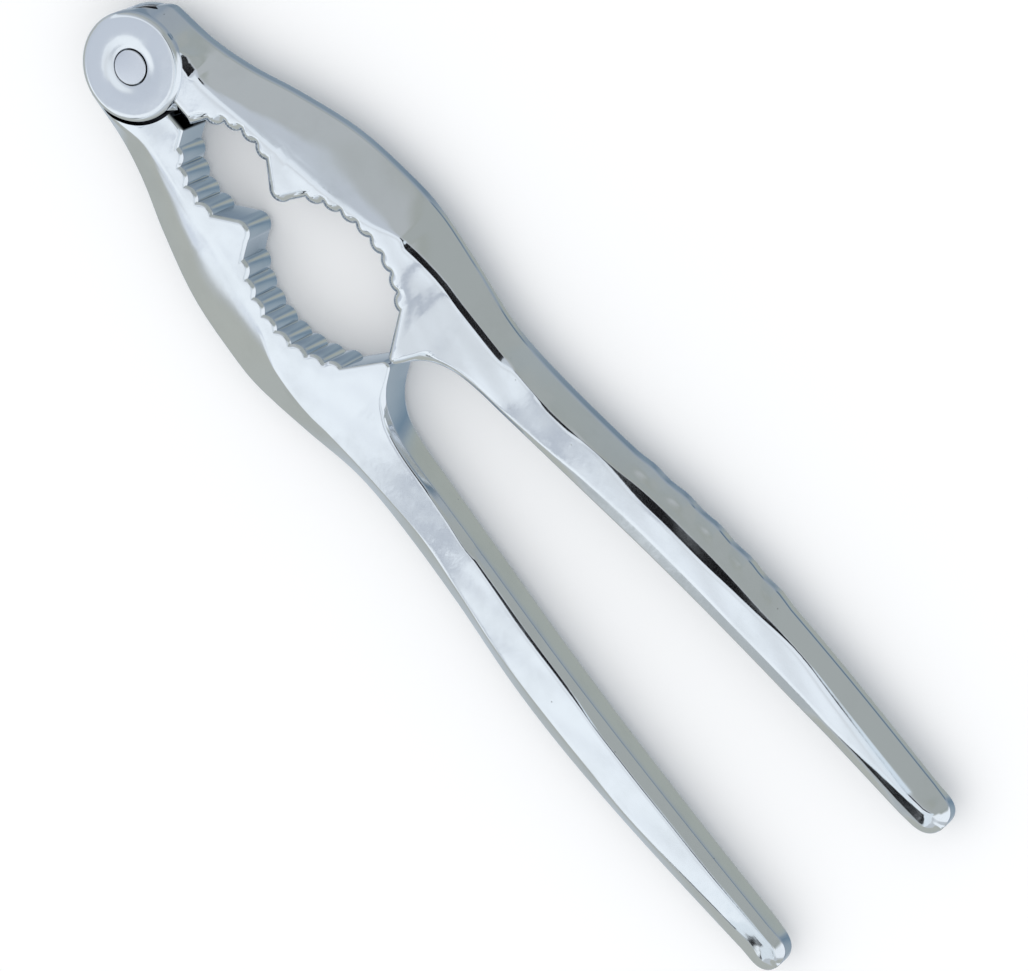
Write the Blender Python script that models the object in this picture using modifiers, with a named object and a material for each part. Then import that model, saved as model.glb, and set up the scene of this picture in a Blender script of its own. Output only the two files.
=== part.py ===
"""Two-lever nutcracker, lying flat with its jaws closed.

X runs from the pivot to the handle tips, along the line that mirrors one lever into the other.
Y points to the fork lever, the pivot pin stands along Z, and z = 0 is the underside of the ears.
Lengths are in millimetres until a mesh is made.
"""

import math

import bmesh
import bpy

MM = 0.001

# Head: two round ears on the fork lever, one tongue between them, one pin through all three.
STACK_HEIGHT = 9.2
EAR_RADIUS = 8.3
EAR_ROUNDING = 0.9
PIN_RADIUS = 2.6
PIN_CLEARANCE = 0.2
TONGUE_RADIUS = 7.9
TONGUE_THICKNESS = 2.8
FACE_GAP = 0.3
SLOT_RADIUS = 8.7
SHOULDER_RADIUS = 9.0
HEAD_SEGMENTS = 72

# Levers: thickness of the jaw end, and of the handle where it ends.
MID_HEIGHT = STACK_HEIGHT / 2
JAW_THICKNESS = 7.6
TIP_THICKNESS = 5.2
HANDLE_START = 60.0
HANDLE_END = 157.4
TIP_LENGTH = 4.0

# Half of the gap between the levers: beside the head, and where the end lobes meet.
HEAD_HALF_GAP = 0.5
LOBE_HALF_GAP = 0.15

# Share of the half thickness that stands upright, before the edge slopes in to the front face.
INNER_UPRIGHT = 0.84
OUTER_UPRIGHT = 0.24
TOOTH_EDGE = 0.6

# Toothed hollows: centre, radius, angles of the first and last groove, and number of teeth.
SMALL_JAW = ((20.8, -3.0), 9.65, 141.3, 71.3, 4)
LARGE_JAW = ((42.3, -6.1), 16.85, 128.5, 48.0, 8)
TOOTH_HEIGHT = 0.62
TOOTH_STEPS = 4

# Smooth lobes: centre, radius and the angles that the rounding turns through.
MIDDLE_LOBE = ((28.45, 5.05), 2.05, 222, 350)
END_LOBE = ((58.0, 1.15), 1.15 - LOBE_HALF_GAP, 213, 328)

# Edges of the fork lever as y over x: the outer nose, the crease where the front face ends,
# the inner wall of the handle, and the inner edge of the handle's front face.
NOSE = (
    (-2.8, 9.9), (5, 10.9), (12, 12.9), (20, 16.2), (30, 19.5), (40, 20.9), (47, 21.1), (56, 19.8),
    (66, 18.0), (75, 17.9), (90, 19.2), (105, 21.2), (118, 22.0), (135, 21.9), (157.4, 21.0),
)
CREASE = (
    (-2.8, 6.6), (12, 7.0), (20, 8.4), (30, 10.8), (40, 12.9), (48, 14.5), (55, 15.8), (62, 15.1),
    (70, 14.9), (80, 15.2), (90, 16.7), (105, 18.4), (120, 19.6), (132, 19.8), (157.4, 18.3),
)
WALL = (
    (58.9, 0.75), (60.2, 2.9), (62, 5.0), (65, 6.8), (69, 7.8), (75, 8.45), (90, 9.95), (105, 11.45),
    (120, 12.6), (140, 13.7), (157.4, 14.4),
)
FRONT_EDGE = (
    (62, 5.7), (65, 7.4), (69, 8.4), (75, 9.1), (82, 10.1), (90, 11.4), (100, 12.7), (110, 13.5),
    (120, 14.1), (140, 15.2), (157.4, 15.7),
)
HEAD_OUTER_END = -2.8
HEAD_ROOT = ((-1.0, 4.0), (4.0, HEAD_HALF_GAP))
HEAD_INNER_CORNER = (12.0, HEAD_HALF_GAP)

# Loft along the handle and round its tip: number of steps, how much closer together the first ones
# are, how square the tip is, and the share of its length that the front face keeps.
HANDLE_STEPS = 18
STEP_SPREAD = 1.4
JAW_STEP = 3.0
TIP_STEPS = 10
TIP_SQUARENESS = 0.85
TIP_FACE_SHARE = 0.45
LOBE_STEPS = 8

PIN_EDGE = 0.25
SMOOTH_ANGLE = 25


def height_over(points, x):
    """y at x on a smooth curve through the points."""
    def slope(k):
        before, after = points[max(k - 1, 0)], points[min(k + 1, len(points) - 1)]
        return (after[1] - before[1]) / (after[0] - before[0])

    i = max([k for k in range(len(points) - 1) if points[k][0] <= x] or [0])
    (x0, y0), (x1, y1) = points[i], points[i + 1]
    span = x1 - x0
    t = min(max((x - x0) / span, 0.0), 1.0)
    return (
        (2 * t**3 - 3 * t**2 + 1) * y0 + (t**3 - 2 * t**2 + t) * span * slope(i)
        + (3 * t**2 - 2 * t**3) * y1 + (t**3 - t**2) * span * slope(i + 1)
    )


def arc(centre, radius, start, end, steps):
    angles = [math.radians(start + (end - start) * i / steps) for i in range(steps + 1)]
    return [(centre[0] + radius * math.cos(a), centre[1] + radius * math.sin(a)) for a in angles]


def teeth(jaw):
    """Round teeth side by side along an arc of grooves."""
    centre, radius, start, end, count = jaw
    grooves = arc(centre, radius, start, end, count)
    points = []
    for (ax, ay), (bx, by) in zip(grooves, grooves[1:]):
        pitch = math.hypot(bx - ax, by - ay)
        along = ((bx - ax) / pitch, (by - ay) / pitch)
        out = (along[1], -along[0])
        tooth_radius = pitch**2 / (8 * TOOTH_HEIGHT) + TOOTH_HEIGHT / 2
        half_angle = math.asin(pitch / 2 / tooth_radius)
        for i in range(TOOTH_STEPS):
            angle = half_angle * (2 * i / TOOTH_STEPS - 1)
            run = tooth_radius * math.sin(angle) + pitch / 2
            rise = tooth_radius * (math.cos(angle) - 1) + TOOTH_HEIGHT
            points.append((ax + run * along[0] + rise * out[0], ay + run * along[1] + rise * out[1]))
    return points + [grooves[-1]]


def half_thickness(x):
    share = min(max((x - HANDLE_START) / (HANDLE_END - HANDLE_START), 0.0), 1.0)
    return (JAW_THICKNESS + (TIP_THICKNESS - JAW_THICKNESS) * share) / 2


def handle_stations():
    """Places along the handle, closer together where it curves away from the jaws."""
    first = WALL[2][0]
    shares = [(i / HANDLE_STEPS) ** STEP_SPREAD for i in range(HANDLE_STEPS + 1)]
    return [first + (HANDLE_END - first) * share for share in shares]


def jaw_edge():
    """The toothed edge of a lever, from the head to where the handle starts."""
    points = [HEAD_ROOT[1], HEAD_INNER_CORNER]
    points += teeth(SMALL_JAW)
    points += arc(*MIDDLE_LOBE, LOBE_STEPS)
    points += teeth(LARGE_JAW)
    points += arc(*END_LOBE, LOBE_STEPS)
    return points + [WALL[1]]


def inward_offset(points, distance):
    """Each point moved to the left of its edge, which is into the metal."""
    moved = []
    for i, (x, y) in enumerate(points):
        before, after = points[max(i - 1, 0)], points[min(i + 1, len(points) - 1)]
        run, rise = after[0] - before[0], after[1] - before[1]
        length = math.hypot(run, rise)
        moved.append((x - rise / length * distance, y + run / length * distance))
    return moved


def tip_ring(centre_y, half_width, length):
    """The round end of the handle, without its two ends, from the inner to the outer side."""
    angles = [math.radians(-90 + 180 * i / TIP_STEPS) for i in range(1, TIP_STEPS)]
    return [
        (HANDLE_END + length * math.cos(a) ** TIP_SQUARENESS, centre_y + half_width * math.sin(a))
        for a in angles
    ]


def lever_outline():
    """(widest point, front face point, upright share, half thickness) round the fork lever."""
    rows = []
    edge = jaw_edge()
    for wide, front in zip(edge, inward_offset(edge, TOOTH_EDGE)):
        rows.append((wide, front, INNER_UPRIGHT, half_thickness(wide[0])))

    stations = handle_stations()
    for x in stations:
        wide, front = (x, height_over(WALL, x)), (x, height_over(FRONT_EDGE, x))
        rows.append((wide, front, INNER_UPRIGHT, half_thickness(x)))

    wall, nose = height_over(WALL, HANDLE_END), height_over(NOSE, HANDLE_END)
    edge_in, edge_out = height_over(FRONT_EDGE, HANDLE_END), height_over(CREASE, HANDLE_END)
    wide_tip = tip_ring((wall + nose) / 2, (nose - wall) / 2, TIP_LENGTH)
    front_length = TIP_LENGTH * TIP_FACE_SHARE
    front_tip = tip_ring((edge_in + edge_out) / 2, (edge_out - edge_in) / 2, front_length)
    for i, (wide, front) in enumerate(zip(wide_tip, front_tip), 1):
        share = i / (len(wide_tip) + 1)
        upright = INNER_UPRIGHT + (OUTER_UPRIGHT - INNER_UPRIGHT) * share
        rows.append((wide, front, upright, TIP_THICKNESS / 2))

    run = HEAD_OUTER_END - stations[0]
    count = math.ceil(-run / JAW_STEP)
    jaw_stations = [stations[0] + run * i / count for i in range(1, count + 1)]
    for x in stations[::-1] + jaw_stations:
        wide, front = (x, height_over(NOSE, x)), (x, height_over(CREASE, x))
        rows.append((wide, front, OUTER_UPRIGHT, half_thickness(x)))
    rows.append((HEAD_ROOT[0], HEAD_ROOT[0], OUTER_UPRIGHT, half_thickness(0)))
    return rows


def add_lever_body(name, side):
    """A lever without its head, as four stacked outlines: side 1 is the fork lever, -1 its mirror image."""
    rows = lever_outline()
    bm = bmesh.new()
    rings = []
    for level in (-2, -1, 1, 2):
        ring = []
        for wide, front, upright, half in rows:
            x, y = wide if abs(level) == 1 else front
            reach = half if abs(level) == 2 else half * upright
            z = MID_HEIGHT + math.copysign(reach, level)
            ring.append(bm.verts.new((x * MM, y * side * MM, z * MM)))
        rings.append(ring)
    count = len(rows)
    for lower, upper in zip(rings, rings[1:]):
        for i in range(count):
            j = (i + 1) % count
            bm.faces.new((lower[i], lower[j], upper[j], upper[i]))

    paired = len(handle_stations()) + 4
    middle = len(jaw_edge()) + paired
    for ring in (rings[0], rings[-1]):
        bm.faces.new((ring[middle - 1], ring[middle], ring[middle + 1]))
        for i in range(1, paired):
            bm.faces.new((ring[middle - i - 1], ring[middle - i], ring[middle + i], ring[middle + i + 1]))
        bm.faces.new([ring[(middle + paired + i) % count] for i in range(count - 2 * paired + 1)])
    bmesh.ops.recalc_face_normals(bm, faces=bm.faces)
    return object_from(bm, name)


def object_from(bm, name):
    mesh = bpy.data.meshes.new(name)
    bm.to_mesh(mesh)
    bm.free()
    return bpy.data.objects.new(name, mesh)


def disc(name, radius, bottom, top):
    """A closed cylinder on the pivot axis."""
    bm = bmesh.new()
    bmesh.ops.create_cone(
        bm, cap_ends=True, segments=HEAD_SEGMENTS,
        radius1=radius * MM, radius2=radius * MM, depth=(top - bottom) * MM,
    )
    bmesh.ops.translate(bm, verts=bm.verts, vec=(0, 0, (bottom + top) / 2 * MM))
    return object_from(bm, name)


def round_edges(obj, width, segments):
    bevel = obj.modifiers.new("rounded_edges", "BEVEL")
    bevel.width = width * MM
    bevel.segments = segments
    bevel.limit_method = "ANGLE"
    bevel.angle_limit = math.radians(60)


def combine(obj, other, operation):
    boolean = obj.modifiers.new(other.name, "BOOLEAN")
    boolean.object = other
    boolean.operation = operation
    boolean.solver = "EXACT"


def make_material(name, colour, roughness):
    material = bpy.data.materials.new(name)
    material.use_nodes = True
    shader = material.node_tree.nodes["Principled BSDF"]
    shader.inputs["Base Color"].default_value = (*colour, 1.0)
    shader.inputs["Metallic"].default_value = 1.0
    shader.inputs["Roughness"].default_value = roughness
    return material


def make_fork_lever(parts, helpers):
    """The lever with two ears: a drum of the full stack height, slotted for the tongue."""
    lever = add_lever_body("fork_lever", 1)
    drum = disc("ear_drum", EAR_RADIUS, 0, STACK_HEIGHT)
    round_edges(drum, EAR_ROUNDING, 3)
    half_slot = TONGUE_THICKNESS / 2 + FACE_GAP
    slot = disc("tongue_slot", SLOT_RADIUS, MID_HEIGHT - half_slot, MID_HEIGHT + half_slot)
    bore = disc("ear_bore", PIN_RADIUS + PIN_CLEARANCE, -1, STACK_HEIGHT + 1)
    combine(lever, drum, "UNION")
    combine(lever, slot, "DIFFERENCE")
    combine(lever, bore, "DIFFERENCE")
    parts.objects.link(lever)
    for helper in (drum, slot, bore):
        helpers.objects.link(helper)
    return lever


def make_tongue_lever(parts, helpers):
    """The mirrored lever: hollow shoulders above and below a round tongue."""
    lever = add_lever_body("tongue_lever", -1)
    half_tongue = TONGUE_THICKNESS / 2
    lower = disc("lower_shoulder", SHOULDER_RADIUS, -1, MID_HEIGHT - half_tongue)
    upper = disc("upper_shoulder", SHOULDER_RADIUS, MID_HEIGHT + half_tongue, STACK_HEIGHT + 1)
    tongue = disc("tongue", TONGUE_RADIUS, MID_HEIGHT - half_tongue, MID_HEIGHT + half_tongue)
    bore = disc("tongue_bore", PIN_RADIUS + PIN_CLEARANCE, -2, STACK_HEIGHT + 2)
    combine(lever, lower, "DIFFERENCE")
    combine(lever, upper, "DIFFERENCE")
    combine(lever, tongue, "UNION")
    combine(lever, bore, "DIFFERENCE")
    parts.objects.link(lever)
    for helper in (lower, upper, tongue, bore):
        helpers.objects.link(helper)
    return lever


def make_pivot_pin(parts):
    """A plain pin, flush with both ears."""
    pin = disc("pivot_pin", PIN_RADIUS, 0, STACK_HEIGHT)
    round_edges(pin, PIN_EDGE, 2)
    parts.objects.link(pin)
    return pin


def main():
    for obj in list(bpy.data.objects):
        bpy.data.objects.remove(obj)
    parts = bpy.data.collections.new("nutcracker")
    helpers = bpy.data.collections.new("cutters")
    bpy.context.scene.collection.children.link(parts)
    bpy.context.scene.collection.children.link(helpers)
    helpers.hide_render = True

    chrome = make_material("chrome_plate", (0.80, 0.82, 0.85), 0.08)
    steel = make_material("pin_steel", (0.76, 0.76, 0.79), 0.22)
    make_fork_lever(parts, helpers).data.materials.append(chrome)
    make_tongue_lever(parts, helpers).data.materials.append(chrome)
    make_pivot_pin(parts).data.materials.append(steel)
    for helper in helpers.objects:
        helper.hide_render = True
        helper.display_type = "WIRE"
    for obj in parts.objects:
        obj.data.shade_smooth()
        obj.data.set_sharp_from_angle(angle=math.radians(SMOOTH_ANGLE))


main()
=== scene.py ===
"""Looks of the two-lever nutcracker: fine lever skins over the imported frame, chrome, studio light.

Lengths are in millimetres until a mesh is made. The frame is the CAD's: X from the pivot to the
handle tips, Y towards the fork lever, z = 0 under the ears. Both levers are made as the fork lever
lies, and the tongue lever is mirrored in Y. Each is symmetric about its middle height, so a lever is
drawn as half its thickness over its plan.
"""

import math

import bmesh
import bpy
import numpy as np
from mathutils import Matrix, Vector


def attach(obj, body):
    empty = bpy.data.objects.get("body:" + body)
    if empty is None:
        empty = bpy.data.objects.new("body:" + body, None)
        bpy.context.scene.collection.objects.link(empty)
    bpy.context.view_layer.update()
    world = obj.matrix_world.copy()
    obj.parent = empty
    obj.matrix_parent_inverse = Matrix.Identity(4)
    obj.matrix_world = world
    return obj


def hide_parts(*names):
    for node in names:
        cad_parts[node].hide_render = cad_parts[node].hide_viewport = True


MM = 0.001

# Head, as in the CAD.
STACK_HEIGHT = 9.2
MID_HEIGHT = STACK_HEIGHT / 2
EAR_RADIUS = 8.3
EAR_ROUNDING = 0.9
PIN_RADIUS = 2.6
PIN_CLEARANCE = 0.2
TONGUE_RADIUS = 7.9
TONGUE_THICKNESS = 2.8
FACE_GAP = 0.3

# Two radii of the head that differ from the CAD: the slot's hidden end wall clears the other lever when
# the tool is open, and the shoulders lie close round the ears.
SLOT_RADIUS = 9.1
SHOULDER_RADIUS = 8.8

# Roundings that the CAD hasn't.
SHOULDER_ROUNDING = 0.12
TONGUE_ROUNDING = 0.3
PIN_ROUNDING = 0.12

# Levers, as in the CAD apart from CREASE, which follows the photograph more closely.
JAW_HALF = 3.8
TIP_HALF = 2.6
HANDLE_START = 60.0
HANDLE_END = 157.4
TIP_LENGTH = 4.0
HEAD_HALF_GAP = 0.5
LOBE_HALF_GAP = 0.15
INNER_UPRIGHT = 0.84
OUTER_UPRIGHT = 0.24
SMALL_JAW = ((20.8, -3.0), 9.65, 141.3, 71.3, 4)
LARGE_JAW = ((42.3, -6.1), 16.85, 128.5, 48.0, 8)
TOOTH_HEIGHT = 0.62
MIDDLE_LOBE = ((28.45, 5.05), 2.05, 222, 350)
END_LOBE = ((58.0, 1.15), 1.15 - LOBE_HALF_GAP, 213, 328)
NOSE = (
    (-2.8, 9.9), (5, 10.9), (12, 12.9), (20, 16.2), (30, 19.5), (40, 20.9), (47, 21.1), (56, 19.8),
    (66, 18.0), (75, 17.9), (90, 19.2), (105, 21.2), (118, 22.0), (135, 21.9), (157.4, 21.0),
)
CREASE = (
    (-2.8, 6.9), (2, 8.5), (8.5, 7.6), (12, 7.9), (16, 8.6), (20, 9.4), (30, 11.1), (40, 13.3), (44, 14.7),
    (47, 15.4), (51, 15.9), (55, 16.0), (59, 15.6), (64, 15.3), (70, 15.1), (80, 15.2), (90, 16.6),
    (97, 17.8), (105, 18.7), (113, 19.2), (120, 19.5), (132, 19.9), (157.4, 18.3),
)
WALL = (
    (58.9, 0.75), (60.2, 2.9), (62, 5.0), (65, 6.8), (69, 7.8), (75, 8.45), (90, 9.95), (105, 11.45),
    (120, 12.6), (140, 13.7), (157.4, 14.4),
)
FRONT_EDGE = (
    (62, 5.7), (65, 7.4), (69, 8.4), (75, 9.1), (82, 10.1), (90, 11.4), (100, 12.7), (110, 13.5),
    (120, 14.1), (140, 15.2), (157.4, 15.7),
)
HEAD_OUTER_END = -2.8
HEAD_INNER_CORNER = 12.0

# Where the levers' rows of mesh begin: the fork's beside its ear, the tongue lever's inside the tongue.
HEAD_ROW = 9.2
TONGUE_ROOT = 4.0
TONGUE_END = -2.4
OUTER_CORNER = (-2.8, 9.9)
CORNER_ROUNDING = 1.6

# Fineness of the mesh: rows along x, and columns from the inner edge to the outer one.
HANDLE_ROWS = 84
TIP_ROWS = 14
TOOTH_ROWS = 14
INNER_COLUMNS, MIDDLE_COLUMNS, SLOPE_COLUMNS, CREASE_COLUMNS, NOSE_COLUMNS = 14, 14, 8, 12, 9
CIRCLES = (2.80, 2.83, 2.86, 2.95, 3.15, 3.4, 3.7, 4.0, 4.4, 4.9, 5.5, 6.3, 7.0) + tuple(
    EAR_RADIUS - EAR_ROUNDING * (1 - math.sin(math.radians(a))) for a in range(0, 91, 9)
) + (8.34, 8.39, 8.46, 8.56, 8.7)
OUTER_RINGS = 18
LATHE_SEGMENTS = 180
PIN_SEGMENTS = 144
SHARP_ANGLE = 36

# Five even swells on the fork handle's outer slope: their start, pitch, and how far they stand out and up.
SWELL_COUNT = 5
SWELL_START, SWELL_PITCH, SWELL_OUT, SWELL_UP = 92.0, 6.4, 0.28, 0.16

# Slopes of the ear and of the fork's front face, too slight to see but for what they mirror.
EAR_TILT = 0.009
FRONT_TILT = 0.028

# Degrees that a facet leans: the narrow ones that mirror the dark card, the ones at the tips that mirror
# the other dark card, and the rest of the handle's inner side.
DARK_FACET_TILT = 13
STREAK_TILT = 8.7
INNER_TILT = 16

# Stretches of a lever's facets along x: where each starts, is full, starts to fade and stops.
WEDGE = (1.4, 2.4, 7.2, 8.4)
LONG_LINE = (46.0, 48.0, 69, 72)
SHORT_LINE = (76.6, 78, 84, 85.6)
BAND = (88.4, 99, 108, 134)
INNER_LINE = (85.5, 87, 112, 119)
INNER_LINE_MIDDLE = (88, 95, 104, 116)
FRONT_TILTED = (48, 58, 62, 76)
LOW_NOSE = (43, 50, 62, 80)


def height_over(points, x):
    """y at each x on a smooth curve through the points."""
    x = np.asarray(x, float)
    px, py = np.array(points, float).T
    slope = np.empty(len(px))
    slope[1:-1] = (py[2:] - py[:-2]) / (px[2:] - px[:-2])
    slope[0] = (py[1] - py[0]) / (px[1] - px[0])
    slope[-1] = (py[-1] - py[-2]) / (px[-1] - px[-2])
    i = np.clip(np.searchsorted(px, x, side="right") - 1, 0, len(px) - 2)
    span = px[i + 1] - px[i]
    t = np.clip((x - px[i]) / span, 0, 1)
    return (
        (2 * t**3 - 3 * t**2 + 1) * py[i] + (t**3 - 2 * t**2 + t) * span * slope[i]
        + (3 * t**2 - 2 * t**3) * py[i + 1] + (t**3 - t**2) * span * slope[i + 1]
    )


def ramp(value, low, high):
    """0 below low, 1 above high, smooth between."""
    t = np.clip((np.asarray(value, float) - low) / (high - low), 0, 1)
    return t * t * (3 - 2 * t)


def window(x, start, full, thin, stop):
    """1 between full and thin, 0 before start and after stop."""
    return ramp(x, start, full) * (1 - ramp(x, thin, stop))


def soft_min(a, b, width):
    """The lower of two heights, rounded where they are within width of each other."""
    h = np.clip(width - np.abs(a - b), 0, None) / width
    return np.minimum(a, b) - h * h * width / 4


def soft_max(a, b, width):
    """The higher of two heights, filled where they are within width of each other."""
    return -soft_min(-a, -b, width)


def arc(centre, radius, start, end, steps):
    """Points along an arc, from one angle in degrees to the other."""
    a = np.radians(np.linspace(start, end, steps + 1))
    return [(centre[0] + radius * math.cos(t), centre[1] + radius * math.sin(t)) for t in a]


def teeth(jaw):
    """Round teeth side by side along an arc of grooves."""
    centre, radius, start, end, count = jaw
    grooves = arc(centre, radius, start, end, count)
    points = []
    for (ax, ay), (bx, by) in zip(grooves, grooves[1:]):
        pitch = math.hypot(bx - ax, by - ay)
        along = ((bx - ax) / pitch, (by - ay) / pitch)
        out = (along[1], -along[0])
        tooth_radius = pitch**2 / (8 * TOOTH_HEIGHT) + TOOTH_HEIGHT / 2
        half_angle = math.asin(pitch / 2 / tooth_radius)
        for i in range(TOOTH_ROWS):
            angle = half_angle * (2 * i / TOOTH_ROWS - 1)
            run = tooth_radius * math.sin(angle) + pitch / 2
            rise = tooth_radius * (math.cos(angle) - 1) + TOOTH_HEIGHT
            points.append((ax + run * along[0] + rise * out[0], ay + run * along[1] + rise * out[1]))
    return points + [grooves[-1]]


def half_thickness(x):
    """Half the lever's thickness, which the handle loses evenly to its tip."""
    share = np.clip((np.asarray(x, float) - HANDLE_START) / (HANDLE_END - HANDLE_START), 0, 1)
    return JAW_HALF + (TIP_HALF - JAW_HALF) * share


def line(a, b, steps):
    """Points from a, not included, to b."""
    return [tuple(np.array(a) + (np.array(b) - a) * (i + 1) / steps) for i in range(steps)]


def inner_path(start_x):
    """The lever's inner edge from the head to the handle's end."""
    start = (start_x, HEAD_HALF_GAP)
    points = [start, *line(start, (HEAD_INNER_CORNER, HEAD_HALF_GAP), 10)]
    points += teeth(SMALL_JAW)
    points += arc(*MIDDLE_LOBE, 22)
    points += teeth(LARGE_JAW)
    points += arc(*END_LOBE, 16)
    points += line(points[-1], WALL[1], 5)[:-1]
    x = WALL[1][0] + (HANDLE_END - WALL[1][0]) * np.linspace(0, 1, HANDLE_ROWS + 1) ** 1.4
    points += list(zip(x, height_over(WALL, x)))
    return np.array(points)


def nose_at(x, with_swells):
    """y of the lever's outer edge."""
    y = height_over(NOSE, x)
    return y + SWELL_OUT * swell(x, 0.0) if with_swells else y


def head_outline():
    """The fork's outline from the nose at x = HEAD_ROW back over the corner, down to the ear and round it."""
    x = np.linspace(HEAD_ROW, OUTER_CORNER[0] + 0.9, 30)
    nose = list(zip(x, height_over(NOSE, x)))
    reach = math.hypot(*OUTER_CORNER)
    tangent = math.degrees(math.atan2(OUTER_CORNER[1], OUTER_CORNER[0]) + math.acos(EAR_RADIUS / reach))
    rim = arc((0, 0), EAR_RADIUS, tangent, 357, 108)
    a, b, c = np.array(rim[0]), np.array(OUTER_CORNER), np.array(nose[-1])
    a_in = b + (a - b) * CORNER_ROUNDING / np.linalg.norm(a - b)
    turn = [tuple((1 - t) ** 2 * c + 2 * t * (1 - t) * b + t * t * a_in) for t in np.linspace(0, 1, 13)[1:]]
    down = line(tuple(a_in), tuple(a), 16)[:-1]
    return nose, turn + down, rim


def tip_points(side):
    """Half of the handle's round end, from the inner (-1) or outer (1) side to just before the middle."""
    wall, nose = height_over(WALL, HANDLE_END), height_over(NOSE, HANDLE_END)
    a = np.radians(np.linspace(90, 0, TIP_ROWS + 1)[1:-1])
    x = HANDLE_END + TIP_LENGTH * np.cos(a) ** 0.8
    return np.column_stack([x, (wall + nose) / 2 + side * (nose - wall) / 2 * np.sin(a) ** 0.8])


def edge_height(s, rise, reach, rounding, bulge, facet, roll, tilt, top, blend):
    """Height at distance s from an edge.

    It stands upright to rise, rounds over, slopes up to the crease at reach with a bulge on the way, and
    leans by tilt across a facet, which rolls into the top. blend softens the crease.
    """
    crease = top - np.tan(tilt) * (roll / 2 + facet)
    slope = (crease - rise) / reach
    theta = np.arctan(slope)
    s1 = rounding * (1 - np.sin(theta))
    base = rise + slope * s1 - rounding * np.cos(theta)
    inside = np.clip(rounding**2 - (rounding - np.minimum(s, s1)) ** 2, 0, None)
    share = np.clip(s / reach, 0, 1)
    low = np.where(s < s1, base + np.sqrt(inside), rise + slope * s) + 4 * bulge * share * (1 - share)
    left = np.clip(reach + facet + roll - s, 0, None)
    face = top - np.tan(tilt) * np.where(left < roll, left**2 / (2 * roll), left - roll / 2)
    return soft_min(low, face, blend)


def ear_height(r, x):
    """The ear's face over the distance from the pivot: a dish round the pin, a rounded rim, a steep side."""
    dish = 0.12 * np.exp(-(((r - 2.7) / 1.15) ** 2)) + np.clip(2.86 - r, 0, None)
    face = MID_HEIGHT - 0.04 - EAR_TILT * (7.6 - x) - dish
    over = np.clip(r - (EAR_RADIUS - EAR_ROUNDING), 0, EAR_ROUNDING)
    rim = face - EAR_ROUNDING + np.sqrt(np.clip(EAR_ROUNDING**2 - over**2, 0, None))
    return rim - 14.0 * np.clip(r - EAR_RADIUS, 0, None)


def swell(x, slant):
    """Five even swells along the handle's outer slope."""
    phase = x - slant
    wave = 0.5 - 0.5 * np.cos(2 * np.pi * (phase - SWELL_START) / SWELL_PITCH)
    return np.where((phase > SWELL_START) & (phase < SWELL_START + SWELL_COUNT * SWELL_PITCH), wave, 0.0)


def distance(points, path):
    """The distance from each point to a path."""
    a, step = path[:-1], np.diff(path, axis=0)
    length = (step**2).sum(axis=1)
    nearest = []
    for block in np.array_split(points, max(1, len(points) // 1000)):
        away = block[:, None] - a
        t = np.clip((away * step).sum(axis=2) / length, 0, 1)
        nearest.append(np.sqrt(((away - t[..., None] * step) ** 2).sum(axis=2).min(axis=1)))
    return np.concatenate(nearest)


def row_grid(inner, x_out, with_swells):
    """Points across the lever, one straight row from each inner edge point to the outer edge."""
    outer = np.vstack([np.column_stack([x_out, nose_at(x_out, False)]), tip_points(1)])
    swelled = np.vstack([np.column_stack([x_out, nose_at(x_out, with_swells)]), tip_points(1)])
    inner = np.vstack([inner, tip_points(-1)])
    x, xo = inner[:, 0], outer[:, 0]
    total = np.linalg.norm(outer - inner, axis=1)
    handle = ramp(x, 59.5, 66)
    x_wall, x_nose = np.clip(x, 62, None), np.clip(xo, None, HANDLE_END)
    wall_width = height_over(FRONT_EDGE, x_wall) - height_over(WALL, x_wall)
    depth_in = 1.7 * (1 - handle) + (wall_width + 0.9) * handle
    crease = height_over(NOSE, x_nose) - height_over(CREASE, x_nose)
    roll = 2.2 - 0.6 * ramp(xo, 41, 50)
    squeeze = np.minimum(1, 0.92 * total / (depth_in + crease + roll))
    depth_in, crease, roll = depth_in * squeeze, crease * squeeze, roll * squeeze
    nose = np.minimum(0.9, crease * 0.35)
    brow = np.maximum(crease - 0.5, crease * 0.7)

    def part(start, end, steps, power=1.0):
        """Places along a row after start and up to end; a higher power draws them towards start."""
        u = np.linspace(0, 1, steps + 1)[1:] ** power
        return start[:, None] + (end - start)[:, None] * u

    zero = np.zeros(len(x))
    from_outer = np.hstack([
        part(zero, nose, NOSE_COLUMNS, 1.6), part(nose, brow, SLOPE_COLUMNS),
        part(brow, crease + roll, CREASE_COLUMNS),
    ])
    place = np.hstack([
        zero[:, None], part(zero, depth_in, INNER_COLUMNS, 1.5),
        part(depth_in, total - crease - roll, MIDDLE_COLUMNS)[:, :-1],
        total[:, None] - from_outer[:, ::-1], total[:, None],
    ])
    share = (place / total[:, None])[..., None]
    # The swells move only the points near the edge.
    near = np.clip(1 - (total[:, None] - place) / 2.0, 0, 1)[..., None]
    return inner[:, None] * (1 - share) + outer[:, None] * share + (swelled - outer)[:, None] * near


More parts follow.
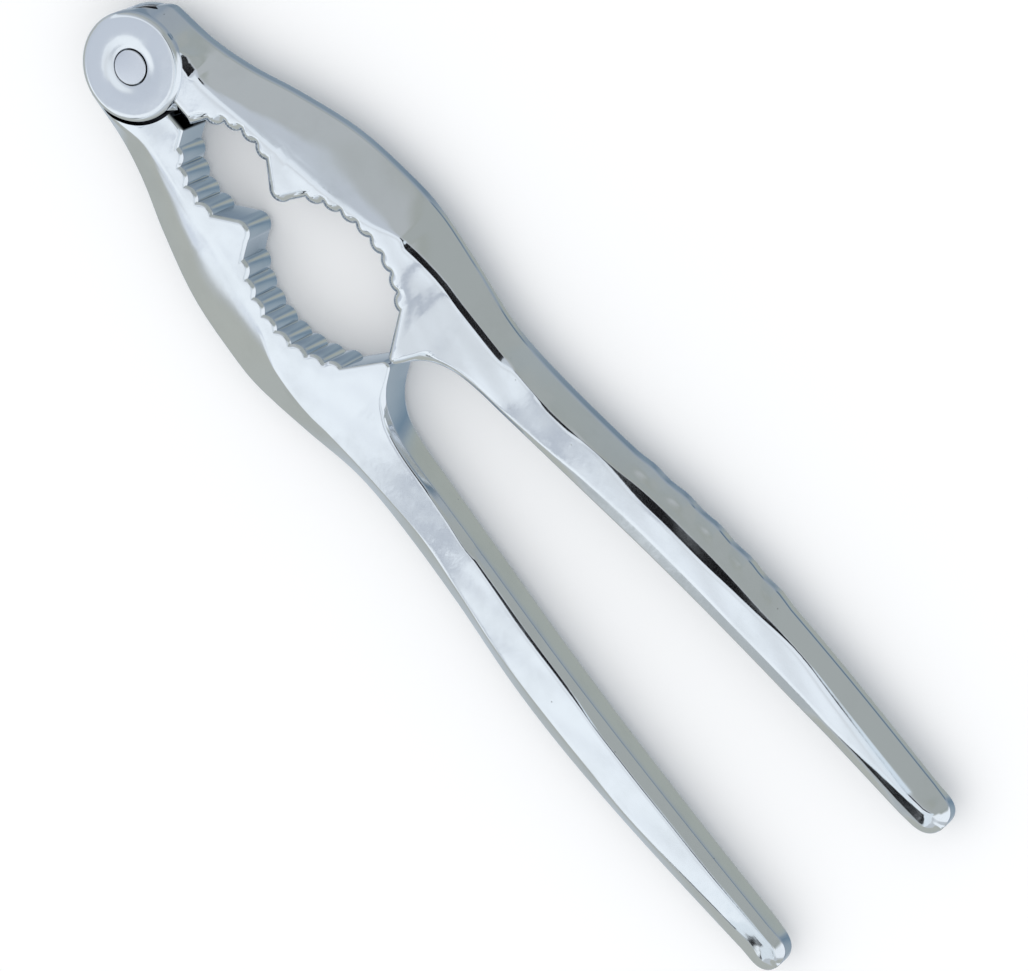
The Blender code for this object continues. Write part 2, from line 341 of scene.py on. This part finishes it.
def lever_plan(is_fork):
    """(grids of plan points, inner edge, outer edge) of a lever."""
    start_x = HEAD_ROW if is_fork else TONGUE_ROOT
    inner = inner_path(start_x)
    x_in = np.maximum.accumulate(inner[:, 0])
    smooth = np.convolve(np.pad(x_in, 10, mode="reflect", reflect_type="odd"), np.ones(21) / 21, "valid")
    share = ramp(x_in, 58, 63)
    x_out = smooth * (1 - share) + x_in * share
    if not is_fork:
        x_out = x_out + (TONGUE_END - TONGUE_ROOT) * (1 - ramp(x_in, TONGUE_ROOT, 13))
    rows = row_grid(inner, x_out, is_fork)
    x = np.linspace(x_out[0], HANDLE_END, 700)
    outer_line = np.vstack([np.column_stack([x, nose_at(x, is_fork)]), tip_points(1)])
    inner_line = np.vstack([inner, tip_points(-1)])
    if not is_fork:
        return [rows], inner_line, outer_line

    nose, corner, rim = head_outline()
    # The head is a fan of spokes from the pin's bore to the ends of the first row and to the outline.
    first = len(rows[0])
    ends = np.vstack([rows[0], nose[1:], corner, rim])
    outline = np.linalg.norm(ends, axis=1)
    way = ends / outline[:, None]
    outline[first:] = np.where(outline[first:] < EAR_RADIUS + 0.05, EAR_RADIUS, outline[first:])
    circles = np.minimum(np.array(CIRCLES), outline[:, None])
    spread = 1 - (1 - np.linspace(0, 1, OUTER_RINGS + 1)[1:]) ** 1.4
    beyond = np.clip(outline - CIRCLES[-1], 0, None)[:, None] * spread
    head = way[:, None] * np.hstack([circles, circles[:, -1:] + beyond])[..., None]
    head[:first, -1] = rows[0]
    head = np.concatenate([head, head[:1]])[:, ::-1]
    outer_line = np.vstack([np.array(corner)[::-1], np.array(nose)[::-1], outer_line[1:]])
    inner_line = np.vstack([[(EAR_RADIUS, HEAD_HALF_GAP)], inner_line])
    return [rows, head], inner_line, outer_line


def weld(grids):
    """One plan mesh from grids of points: shared points become one, and the faces that collapsed go."""
    points = np.vstack([grid.reshape(-1, 2) for grid in grids])
    _, first, index = np.unique(
        np.round(points / 0.002).astype(int), axis=0, return_index=True, return_inverse=True)
    index = index.reshape(-1)
    faces, base = [], 0
    for grid in grids:
        n, m = grid.shape[:2]
        i = index[base:base + n * m].reshape(n, m)
        base += n * m
        quads = np.stack([i[:-1, :-1], i[1:, :-1], i[1:, 1:], i[:-1, 1:]], axis=-1).reshape(-1, 4)
        for quad in quads.tolist():
            face = [a for a, b in zip(quad, quad[1:] + quad[:1]) if a != b]
            if len(face) > 2:
                faces.append(face)
    return points[first], faces


def lever_heights(points, inner_line, outer_line, is_fork):
    """Half the lever's thickness at each plan point."""
    s_in, s_out = distance(points, inner_line), distance(points, outer_line)
    if is_fork:
        # The swells shape the edge, and leave the crease straight.
        outer_line = outer_line - np.outer(swell(outer_line[:, 0], 0.0), (0.0, SWELL_OUT))
        s_plain = distance(points, outer_line)
        inland = ramp(s_plain, 0.6, 2.0)
        s_out = s_out * (1 - inland) + s_plain * inland
    x_all, y = points.T
    x = np.clip(x_all, None, HANDLE_END)
    top = half_thickness(x)
    end = np.clip((x_all - HANDLE_END + 1.2) / (TIP_LENGTH + 1.2), 0, 1)
    handle = ramp(x, 59.5, 64.5)
    radius = np.hypot(x_all, y)
    if is_fork:
        # Beside the ear the outer slope climbs to the ear's rim.
        beside = ramp(np.degrees(np.arctan2(y, x_all)), 56, 70)
        top = top + (MID_HEIGHT - 0.3 - top) * beside

    # The inner edge: soft at the fork's teeth and crisp at the tongue lever's, then the handle's inner wall.
    soft, fine = (1.0, 0.85, 0.7, 0.35), (0.42, 0.40, 0.25, 0.08)
    jaw_reach, jaw_rise, jaw_round, jaw_blend = soft if is_fork else fine
    lobe = 1 - 0.45 * ramp(x, 55.5, 57) * (1 - ramp(x, 59, 61))
    stations = np.linspace(60.5, HANDLE_END, 200)
    front = np.column_stack([stations, height_over(FRONT_EDGE, stations)])
    wall_reach = np.interp(x, stations, distance(front, inner_line))
    reach_in = jaw_reach * lobe * (1 - handle) + wall_reach * handle
    upright_in = INNER_UPRIGHT - (0.10 * ramp(x, 132, 142) if is_fork else 0.16)
    rise_in = (top - jaw_rise * lobe) * (1 - handle) + upright_in * top * handle
    if is_fork:
        # The dark streak at the tip.
        streak = ramp(x, 137, 139)
        facet_in = streak * (0.2 + 1.25 * ramp(x, 139, 154) + 0.9 * ramp(x, 153, HANDLE_END))
        roll_in, handle_blend = 0.6 - 0.4 * streak, 0.06
        tilt_in = INNER_TILT - (INNER_TILT - STREAK_TILT) * streak
        top = top - FRONT_TILT * np.clip(y - 2, 0, 12) * window(x, *FRONT_TILTED)
    else:
        # The dark line beside the inner wall.
        step = window(x, *INNER_LINE)
        facet_in = (0.62 + 0.20 * window(x, *INNER_LINE_MIDDLE)) * step
        reach_in = reach_in - facet_in
        roll_in, handle_blend = 0.6 - 0.5 * step, 0.03
        tilt_in = INNER_TILT - (INNER_TILT - DARK_FACET_TILT) * step
    from_in = edge_height(
        s_in,
        rise_in * (1 - end) + 0.45 * top * end,
        reach_in * (1 - end) + 1.3 * end,
        (jaw_round * lobe * (1 - handle) + 0.3 * handle) * (1 - end) + 0.6 * end,
        0.0,
        facet_in,
        0.3 * lobe * (1 - handle) + roll_in * handle,
        np.radians(10 * (1 - handle) + tilt_in * handle),
        top,
        jaw_blend * (1 - handle) + handle_blend * handle,
    )

    # The outer edge: the nose, the outer slope and the crease, soft at the head and crisp from the jaws on.
    stations = np.linspace(HEAD_OUTER_END, HANDLE_END, 300)
    crease = np.column_stack([stations, height_over(CREASE, stations)])
    reach_out = np.interp(x, stations, distance(crease, outer_line))
    crisp = ramp(x, 41, 47)
    upright = OUTER_UPRIGHT - 0.08 * window(x, *LOW_NOSE)
    roll_out, tilt_out = 2.0 * (1 - crisp) + 0.7 * crisp, 9 * (1 - crisp) + DARK_FACET_TILT * crisp
    blend_out = 0.45 * (1 - crisp) + 0.05 * crisp
    if is_fork:
        # The dark wedge beside the ear, two lines and a band, after which the crease softens again.
        wedge = window(x, *WEDGE)
        line_width = 0.95 * window(x, *LONG_LINE) + 0.40 * window(x, *SHORT_LINE)
        facet_out = 1.9 * wedge + line_width + 1.45 * window(x, *BAND)
        away = ramp(x, 124, 138)
        roll_out = (roll_out + 1.3 * away) * (1 - wedge) + 0.2 * wedge
        tilt_out = tilt_out * (1 - wedge) + DARK_FACET_TILT * wedge
        blend_out = (blend_out + 0.5 * away) * (1 - wedge) + 0.08 * wedge
        reach_out = reach_out * (1 - beside) + (s_out + np.clip(radius - 7.9, 0.02, None)) * beside
    else:
        # The dark spot at the tip.
        facet_out = 2.2 * ramp(x, 152.5, 156.5)
        tilt_out = tilt_out - (DARK_FACET_TILT - STREAK_TILT) * ramp(x, 150, 153)
    from_out = edge_height(
        s_out,
        upright * (half_thickness(x) * (1 - end)) + 0.45 * top * end,
        reach_out * (1 - end) + 1.3 * end,
        0.6,
        (0.20 - 0.15 * ramp(x, 26, 36)) * (1 - end) * ramp(x, 8, 16),
        facet_out,
        roll_out * (1 - end) + 0.6 * end,
        np.radians(tilt_out),
        top,
        blend_out,
    )
    z = soft_min(from_in, from_out, 0.05)
    if is_fork:
        share = np.clip(s_out / reach_out, 0, 1)
        z = z + SWELL_UP * swell(x, 3.0 * share) * np.sin(np.pi * np.clip(share * 1.15, 0, 1)) ** 2
    # A slight unevenness of the casting, away from the edges.
    waves = np.sin(x / 3.1 + 0.7 * y) * np.sin(y / 2.3 + 0.4)
    z = z + 0.02 * waves * np.clip(np.minimum(s_in, s_out) / 2, 0, 1)
    if is_fork:
        z = soft_max(z - 1.5 * (1 - ramp(radius, 6.3, 7.5)), ear_height(radius, x_all), 0.5)
    return z


def lever_mesh(name, is_fork, side):
    """A closed lever: its plan lifted up and down by the half thickness, with walls along its outlines."""
    grids, inner_line, outer_line = lever_plan(is_fork)
    points, faces = weld(grids)
    heights = lever_heights(points, inner_line, outer_line, is_fork)
    count = len(points)
    used = {(a, b) for face in faces for a, b in zip(face, face[1:] + face[:1])}
    outline = [(a, b) for a, b in used if (b, a) not in used]
    middle = {a: 2 * count + i for i, a in enumerate(sorted({a for edge in outline for a in edge}))}
    solid = list(faces) + [[a + count for a in face[::-1]] for face in faces]
    for a, b in sorted(outline):
        solid += [[b, a, middle[a], middle[b]], [middle[b], middle[a], a + count, b + count]]
    levels = np.concatenate([heights, -heights, np.zeros(len(middle))])
    plan = np.vstack([points, points, points[sorted(middle)]])
    places = np.column_stack([plan[:, 0], plan[:, 1] * side, levels + MID_HEIGHT]) * MM
    mesh = bpy.data.meshes.new(name)
    mesh.from_pydata(places.tolist(), [], solid)
    bm = bmesh.new()
    bm.from_mesh(mesh)
    bmesh.ops.recalc_face_normals(bm, faces=bm.faces)
    bm.to_mesh(mesh)
    bm.free()
    return bpy.data.objects.new(name, mesh)


def lathe(name, profile, segments):
    """A closed turned solid on the pivot axis. The profile runs up its outer side."""
    mesh = bpy.data.meshes.new(name)
    bm = bmesh.new()
    rings = []
    for r, z in profile:
        turn = [2 * math.pi * i / segments for i in range(segments)]
        height = (z + MID_HEIGHT) * MM
        rings.append([bm.verts.new((r * MM * math.cos(t), r * MM * math.sin(t), height)) for t in turn])
    for low, high in zip(rings, rings[1:]):
        for i in range(segments):
            j = (i + 1) % segments
            bm.faces.new((low[i], low[j], high[j], high[i]))
    bm.faces.new(rings[0][::-1])
    bm.faces.new(rings[-1])
    bm.to_mesh(mesh)
    bm.free()
    return bpy.data.objects.new(name, mesh)


def rounded_top(radius, height, size):
    """A profile's rounded upper corner, from its side at radius up and in to its top at height."""
    a = np.radians(np.linspace(0, 90, 6))
    return [(radius - size + size * math.cos(t), height - size + size * math.sin(t)) for t in a]


def mirrored(profile):
    """A profile above the middle height, with the same below it."""
    return [(r, -z) for r, z in profile[::-1]] + profile


def disc(name, radius, low, high):
    """A plain round cutter."""
    return lathe(name, [(radius, low), (radius, high)], LATHE_SEGMENTS)


def shoulder_profile():
    """A cutter from the tongue's face to past the lever's, which it leaves with a rounded edge."""
    radius, size = SHOULDER_RADIUS, SHOULDER_ROUNDING
    flare = [
        (radius + size * (1 - math.cos(t)), JAW_HALF - size * (1 - math.sin(t)))
        for t in np.radians(np.linspace(0, 90, 7))
    ]
    return [(radius, TONGUE_THICKNESS / 2)] + flare + [(radius + size, JAW_HALF + 2)]


def combine(obj, others):
    """The object with each (solid, operation) applied in turn, as one plain mesh. The solids go."""
    bpy.context.scene.collection.objects.link(obj)
    for other, operation in others:
        bpy.context.scene.collection.objects.link(other)
        boolean = obj.modifiers.new(other.name, "BOOLEAN")
        boolean.object = other
        boolean.operation = operation
        boolean.solver = "EXACT"
    graph = bpy.context.evaluated_depsgraph_get()
    mesh = bpy.data.meshes.new_from_object(obj.evaluated_get(graph))
    obj.modifiers.clear()
    old = obj.data
    obj.data = mesh
    bpy.data.meshes.remove(old)
    for other, _ in others:
        helper = other.data
        bpy.data.objects.remove(other)
        bpy.data.meshes.remove(helper)
    mesh.name = obj.name
    mesh.shade_smooth()
    mesh.set_sharp_from_angle(angle=math.radians(SHARP_ANGLE))
    return obj


def make_fork_lever():
    """The fork lever, with the slot for the tongue cut through its head."""
    lever = lever_mesh("fork_lever_skin", True, 1)
    half_slot = TONGUE_THICKNESS / 2 + FACE_GAP
    return combine(lever, [(disc("slot", SLOT_RADIUS, -half_slot, half_slot), "DIFFERENCE")])


def make_tongue_lever():
    """The tongue lever, cut back above and below the tongue for the fork's ears, and bored for the pin."""
    lever = lever_mesh("tongue_lever_skin", False, -1)
    shoulder = shoulder_profile()
    lower = lathe("lower", [(r, -z) for r, z in shoulder[::-1]], LATHE_SEGMENTS)
    upper = lathe("upper", shoulder, LATHE_SEGMENTS)
    tongue_edge = rounded_top(TONGUE_RADIUS, TONGUE_THICKNESS / 2, TONGUE_ROUNDING)
    tongue = lathe("tongue", mirrored(tongue_edge), LATHE_SEGMENTS)
    bore = disc("bore", PIN_RADIUS + PIN_CLEARANCE, -MID_HEIGHT, MID_HEIGHT)
    return combine(lever, [
        (lower, "DIFFERENCE"), (upper, "DIFFERENCE"), (tongue, "UNION"), (bore, "DIFFERENCE"),
    ])


def make_pin():
    """The pin: its rounded rim lies just below the ear's face, and its end is slightly domed."""
    rim_height = MID_HEIGHT - 0.06
    flat = PIN_RADIUS - PIN_ROUNDING
    dome = [(r, rim_height + 0.05 * (1 - (r / flat) ** 2)) for r in (2.0, 1.5, 1.0, 0.5, 0.1)]
    top = rounded_top(PIN_RADIUS, rim_height, PIN_ROUNDING) + dome
    pin = lathe("pivot_pin_skin", mirrored(top), PIN_SEGMENTS)
    bpy.context.scene.collection.objects.link(pin)
    pin.data.shade_smooth()
    return pin


# Materials.

def linear(r, g, b):
    """A colour given as 0-255 screen values, as the linear values that Blender uses."""
    def one(c):
        c /= 255
        return c / 12.92 if c <= 0.04045 else ((c + 0.055) / 1.055) ** 2.4
    return (one(r), one(g), one(b), 1.0)


# Painted shade for recesses, blue-grey as if they mirrored the surroundings.
PAINTED_RECESS_SHADE = linear(62, 96, 118)
PIT_GREY = linear(96, 98, 98)
# Painted shade, near black, for the gap round the joint and the corner beside it.
PAINTED_GAP_SHADE = linear(34, 35, 38)


class Nodes:
    """Short calls for building a node tree."""

    def __init__(self, tree):
        self.tree = tree
        tree.nodes.clear()

    def add(self, kind, inputs=None, **settings):
        """A node. Each input is a value or the socket that feeds it."""
        node = self.tree.nodes.new(kind)
        for key, value in settings.items():
            setattr(node, key, value)
        for key, value in (inputs or {}).items():
            if isinstance(value, bpy.types.NodeSocket):
                self.tree.links.new(value, node.inputs[key])
            else:
                node.inputs[key].default_value = value
        return node

    def math(self, operation, *values):
        return self.add("ShaderNodeMath", dict(enumerate(values)), operation=operation).outputs[0]

    def step(self, value, low, high, start=0.0, stop=1.0):
        """start below low, stop above high, smooth between."""
        node = self.add(
            "ShaderNodeMapRange",
            {"Value": value, "From Min": low, "From Max": high, "To Min": start, "To Max": stop},
            interpolation_type="SMOOTHSTEP",
        )
        return node.outputs["Result"]

    def noise(self, coordinates, scale, detail=3.0, roughness=0.5):
        inputs = {"Vector": coordinates, "Scale": scale, "Detail": detail, "Roughness": roughness}
        return self.add("ShaderNodeTexNoise", inputs).outputs["Fac"]

    def mix(self, share, a, b):
        """The colour a, with a share of b."""
        node = self.add("ShaderNodeMix", data_type="RGBA")
        for socket, value in ((0, share), (6, a), (7, b)):
            if isinstance(value, bpy.types.NodeSocket):
                self.tree.links.new(value, node.inputs[socket])
            else:
                node.inputs[socket].default_value = value
        return node.outputs[2]


def polished_metal(name, colour, dull, roughness, scratch, joint_radius=0.0):
    """Plated metal with orange peel, hairlines, smudges and pits, rougher in recesses, which also get a
    painted blue-grey shade.

    With a joint_radius, in millimetres, a near black painted shade fills the joint to that radius and the
    corner beside it.
    """
    material = bpy.data.materials.new(name)
    material.use_nodes = True
    n = Nodes(material.node_tree)
    place = n.add("ShaderNodeTexCoord").outputs["Object"]
    peel = n.noise(place, 420.0, 3.0, 0.5)
    grain = n.noise(place, 5200.0, 2.0, 0.6)
    smudge = n.step(n.noise(place, 95.0, 5.0, 0.62), 0.42, 0.72)
    stretched = n.add("ShaderNodeMapping", {
        "Vector": place, "Scale": (0.05, 1.0, 1.0), "Rotation": (0, 0, 0.12),
    }).outputs["Vector"]
    hairs = n.noise(stretched, 7000.0, 3.0, 0.7)
    pits = n.add("ShaderNodeTexVoronoi", {"Vector": place, "Scale": 520.0}, feature="F1").outputs["Distance"]
    pit = n.step(pits, 0.035, 0.075, 1.0, 0.0)
    some = n.step(n.noise(place, 160.0, 1.0, 0.5), 0.60, 0.66)
    pit = n.math("MULTIPLY", pit, some)
    # Recesses, found by low pointiness: rougher, and darkened with painted blue-grey shade.
    hollow = n.add("ShaderNodeNewGeometry").outputs["Pointiness"]
    recess = n.step(hollow, 0.40, 0.485, 1.0, 0.0)
    tint = n.mix(n.math("MULTIPLY", smudge, 0.25), colour, dull)
    tint = n.mix(n.math("MULTIPLY", recess, 0.75 if joint_radius else 0.3), tint, PAINTED_RECESS_SHADE)
    tint = n.mix(n.math("MULTIPLY", pit, 0.6), tint, PIT_GREY)
    # Painted black shade in the gap round the joint and in the head's inner corner between the levers.
    if joint_radius:
        flat = n.add("ShaderNodeVectorMath", {0: place, 1: (1.0, 1.0, 0.0)}, operation="MULTIPLY")
        away = n.add("ShaderNodeVectorMath", {0: flat.outputs["Vector"]}, operation="LENGTH").outputs["Value"]
        along, across, _ = n.add("ShaderNodeSeparateXYZ", {0: place}).outputs
        corner = n.math(
            "MULTIPLY",
            n.step(n.math("ABSOLUTE", across), 0.55 * MM, 0.90 * MM, 1.0, 0.0),
            n.step(along, 12.0 * MM, 12.4 * MM, 1.0, 0.0),
        )
        joint = n.step(away, (joint_radius - 0.03) * MM, joint_radius * MM, 1.0, 0.0)
        tint = n.mix(n.math("MAXIMUM", corner, joint), tint, PAINTED_GAP_SHADE)
    rough = n.math("MULTIPLY_ADD", smudge, 0.05, roughness)
    rough = n.math("MULTIPLY_ADD", grain, 0.03, rough)
    rough = n.math("MULTIPLY_ADD", recess, 0.18, rough)
    rough = n.math("MULTIPLY_ADD", pit, 0.2, rough)
    height = n.math("MULTIPLY_ADD", hairs, scratch, peel)
    height = n.math("MULTIPLY_ADD", pit, -0.6, height)
    bump = n.add("ShaderNodeBump", {"Height": height, "Distance": 0.012 * MM, "Strength": 0.6})
    shader = n.add("ShaderNodeBsdfPrincipled", {
        "Base Color": tint, "Roughness": rough, "Metallic": 1.0, "Normal": bump.outputs["Normal"],
    })
    n.add("ShaderNodeOutputMaterial", {"Surface": shader.outputs[0]})
    return material


def floor_material():
    """Pale and matt, with faint clouds."""
    material = bpy.data.materials.new("pale_floor")
    material.use_nodes = True
    n = Nodes(material.node_tree)
    place = n.add("ShaderNodeTexCoord").outputs["Object"]
    shade = n.mix(n.noise(place, 9.0, 3.0, 0.5), (0.93, 0.935, 0.94, 1), (0.95, 0.95, 0.955, 1))
    shader = n.add("ShaderNodeBsdfPrincipled", {"Base Color": shade, "Roughness": 0.9})
    n.add("ShaderNodeOutputMaterial", {"Surface": shader.outputs[0]})
    return material


# Studio: a light tent for the floor, and the softbox, grey walls and dark cards that polished metal mirrors.
# Colours are what the metal shows on screen. A direction is given by its turn, in degrees from straight up
# towards -Y, and by its x. In the photograph's view a level face mirrors turns near 29, a face that leans to
# +Y mirrors smaller ones and a face that leans to -Y larger ones. Unless the face leans along X, it mirrors
# an x of -0.2 at the head to 0.03 at the tips.

REFLECTANCE = 0.80
TENT_LIGHT = (1.08, 1.09, 1.10, 1.0)
BACKDROP = (0.96, 0.965, 0.97, 1.0)
FLOOR_HALF = 1.5

SURROUNDINGS = (
    (-180, (140, 150, 160)), (-120, (138, 150, 162)), (-85, (153, 161, 168)), (-66, (156, 163, 164)),
    (-50, (154, 160, 158)), (-32, (153, 158, 153)), (-12, (161, 165, 163)), (-4, (174, 179, 181)),
    (4, (192, 199, 206)), (11, (218, 225, 231)), (21, (222, 228, 233)), (25.5, (208, 213, 217)),
    (28.4, (226, 232, 237)), (31, (233, 239, 243)), (58.5, (232, 238, 242)), (63.5, (176, 180, 180)),
    (68, (170, 173, 167)), (88, (168, 172, 168)), (105, (167, 171, 167)), (126, (176, 184, 190)),
    (150, (165, 175, 184)), (180, (140, 150, 160)),
)

# Parts of the surroundings in one tone, each over the ones before: turns, x, how soft the sides are in turn
# and in x, and the colour.
CARDS = (
    # Grey for the slopes that lean to +Y: at the head's end, and along the handles.
    ((-44, -6), (-1.2, -0.235), 6, 0.07, (171, 175, 176)),
    ((-70, -16), (-0.12, 0.30), 8, 0.04, (158, 163, 161)),
    # Tints for the ear and for faces that lean along X.
    ((-15, 14), (0.052, 0.20), 4, 0.012, (206, 217, 225)),
    ((-5, 8), (-1.2, -0.236), 4, 0.02, (184, 190, 197)),
    ((47, 61), (-0.27, -0.228), 3, 0.01, (204, 211, 220)),
    ((24, 36), (-1.40, -0.2020), 2, 0.004, (189, 196, 206)),
    ((32, 64), (-1.40, -0.33), 3, 0.02, (186, 193, 202)),
    ((-32, 22), (0.30, 1.4), 6, 0.10, (228, 234, 238)),
    ((-118, 0), (0.48, 1.4), 8, 0.10, (229, 235, 240)),
    ((28, 64), (0.30, 1.2), 5, 0.05, (184, 190, 195)),
    ((14, 54), (0.045, 0.30), 3, 0.02, (214, 223, 229)),
    # A greyer stretch of the front faces, and of the facets that lean to -Y near the tips.
    ((14, 54), (-0.0795, -0.0610), 3, 0.0025, (164, 171, 182)),
    ((48, 63), (-0.012, 0.2), 2, 0.008, (167, 173, 175)),
    # The dark card of the wedge, the lines and the band.
    ((-0.5, 8.7), (-0.208, 0.050), 1.2, 0.004, (16, 16, 18)),
    # Blue for steep faces along the handles.
    ((-118, -84), (-0.10, 0.12), 4, 0.02, (92, 112, 128)),
    # The dark card of the streak and the spot at the tips.
    ((42.5, 50), (0.030, 0.13), 1, 0.004, (12, 12, 15)),
)

# What upright walls mirror, from below the horizon, over x.
BELOW = (
    (-0.6, (116, 131, 145)), (-0.35, (130, 145, 156)), (-0.18, (112, 129, 143)), (-0.09, (138, 150, 158)),
    (-0.03, (157, 162, 156)), (0.05, (157, 163, 158)), (0.10, (150, 160, 163)), (0.16, (126, 141, 153)),
    (0.24, (110, 130, 146)), (0.42, (136, 151, 162)), (0.6, (148, 160, 169)),
)


def studio_world():
    """The world: an even tent, a pale backdrop, and for glossy rays the surroundings."""
    world = bpy.data.worlds.new("studio")
    bpy.context.scene.world = world
    world.use_nodes = True
    n = Nodes(world.node_tree)
    way = n.add("ShaderNodeTexCoord").outputs["Generated"]
    dx, dy, dz = n.add("ShaderNodeSeparateXYZ", {"Vector": way}).outputs
    turn = n.math("MULTIPLY", n.math("ARCTAN2", n.math("MULTIPLY", dy, -1.0), dz), 180 / math.pi)

    def tone(r, g, b):
        """The light that the metal shows as this colour."""
        return tuple(c / REFLECTANCE for c in linear(r, g, b)[:3]) + (1.0,)

    def ramp_of(value, stops):
        """The tones of the stops, by value."""
        low, high = stops[0][0], stops[-1][0]
        share = n.add("ShaderNodeMapRange", {"Value": value, "From Min": low, "From Max": high})
        node = n.add("ShaderNodeValToRGB", {"Fac": share.outputs["Result"]})
        points = node.color_ramp.elements
        for place, colour in stops[1:-1]:
            points.new((place - low) / (high - low))
        for point, (place, colour) in zip(points, stops):
            point.position = (place - low) / (high - low)
            point.color = tone(*colour)
        return node.outputs["Color"]

    seen = ramp_of(turn, SURROUNDINGS)
    for turns, widths, soft_turn, soft_x, colour in CARDS:
        away_turn = n.math("ABSOLUTE", n.math("SUBTRACT", turn, sum(turns) / 2))
        away_x = n.math("ABSOLUTE", n.math("SUBTRACT", dx, sum(widths) / 2))
        half_turn, half_x = (turns[1] - turns[0]) / 2, (widths[1] - widths[0]) / 2
        share = n.math(
            "MULTIPLY",
            n.step(away_turn, half_turn - soft_turn, half_turn + soft_turn, 1.0, 0.0),
            n.step(away_x, half_x - soft_x, half_x + soft_x, 1.0, 0.0),
        )
        seen = n.mix(share, seen, tone(*colour))
    low = n.math("MULTIPLY", n.step(dz, -0.80, -0.60, 1.0, 0.0), n.step(dy, -0.35, 0.0))
    seen = n.mix(low, seen, ramp_of(dx, BELOW))
    paths = n.add("ShaderNodeLightPath")
    light = n.mix(paths.outputs["Is Glossy Ray"], TENT_LIGHT, seen)
    light = n.mix(paths.outputs["Is Camera Ray"], light, BACKDROP)
    background = n.add("ShaderNodeBackground", {"Color": light})
    n.add("ShaderNodeOutputWorld", {"Surface": background.outputs[0]})


def make_floor(material):
    """A floor a hair below the tool, which the metal doesn't mirror."""
    mesh = bpy.data.meshes.new("floor")
    size = FLOOR_HALF
    corners = [(-size, -size, 0), (size, -size, 0), (size, size, 0), (-size, size, 0)]
    mesh.from_pydata(corners, [], [(0, 1, 2, 3)])
    floor = bpy.data.objects.new("floor", mesh)
    floor.location.z = -0.1 * MM
    floor.visible_glossy = False
    bpy.context.scene.collection.objects.link(floor)
    mesh.materials.append(material)


def make_camera():
    """The camera of the photograph's view: its place, what it looks at, and how far it is rolled."""
    place = Vector((143.03, 338.64, 611.73)) * MM
    target = Vector((83.32, 0.60, 4.6)) * MM
    roll = math.radians(-122.0)
    ahead = (target - place).normalized()
    level = ahead.cross(Vector((0, 0, 1))).normalized()
    upright = level.cross(ahead)
    right = level * math.cos(roll) + upright * math.sin(roll)
    up = upright * math.cos(roll) - level * math.sin(roll)
    data = bpy.data.cameras.new("camera")
    data.lens = 167.09
    data.sensor_width = 36.0
    data.clip_start = 0.01
    camera = bpy.data.objects.new("camera", data)
    turn = Matrix((right, up, -ahead)).transposed()
    camera.matrix_world = Matrix.Translation(place) @ turn.to_4x4()
    bpy.context.scene.collection.objects.link(camera)
    bpy.context.scene.camera = camera


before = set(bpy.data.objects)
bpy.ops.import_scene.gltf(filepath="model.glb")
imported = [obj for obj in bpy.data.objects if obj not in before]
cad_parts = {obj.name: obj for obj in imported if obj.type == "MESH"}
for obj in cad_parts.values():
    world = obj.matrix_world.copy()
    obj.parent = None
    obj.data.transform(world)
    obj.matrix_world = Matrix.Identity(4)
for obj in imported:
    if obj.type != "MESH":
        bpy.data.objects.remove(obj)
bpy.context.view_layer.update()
make_camera()

CHROME = (linear(229, 232, 236), linear(205, 208, 210), 0.055, 0.05)
chrome = polished_metal("chrome_plate", *CHROME)
# The tongue lever's chrome, with painted shade in the joint's gap and corner.
gap_shaded = polished_metal("chrome_plate_joint", *CHROME, joint_radius=SHOULDER_RADIUS + 0.05)
pin_steel = polished_metal("pin_steel", linear(216, 219, 226), linear(196, 200, 208), 0.20, 0.25)

fork = make_fork_lever()
fork.data.materials.append(chrome)
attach(fork, "fork")
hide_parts("fork_lever")

tongue = make_tongue_lever()
tongue.data.materials.append(gap_shaded)
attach(tongue, "tongue")
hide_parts("tongue_lever")

pin = make_pin()
pin.data.materials.append(pin_steel)
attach(pin, "fork")
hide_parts("pivot_pin")

studio_world()
make_floor(floor_material())
bpy.context.scene.view_settings.view_transform = "Standard"
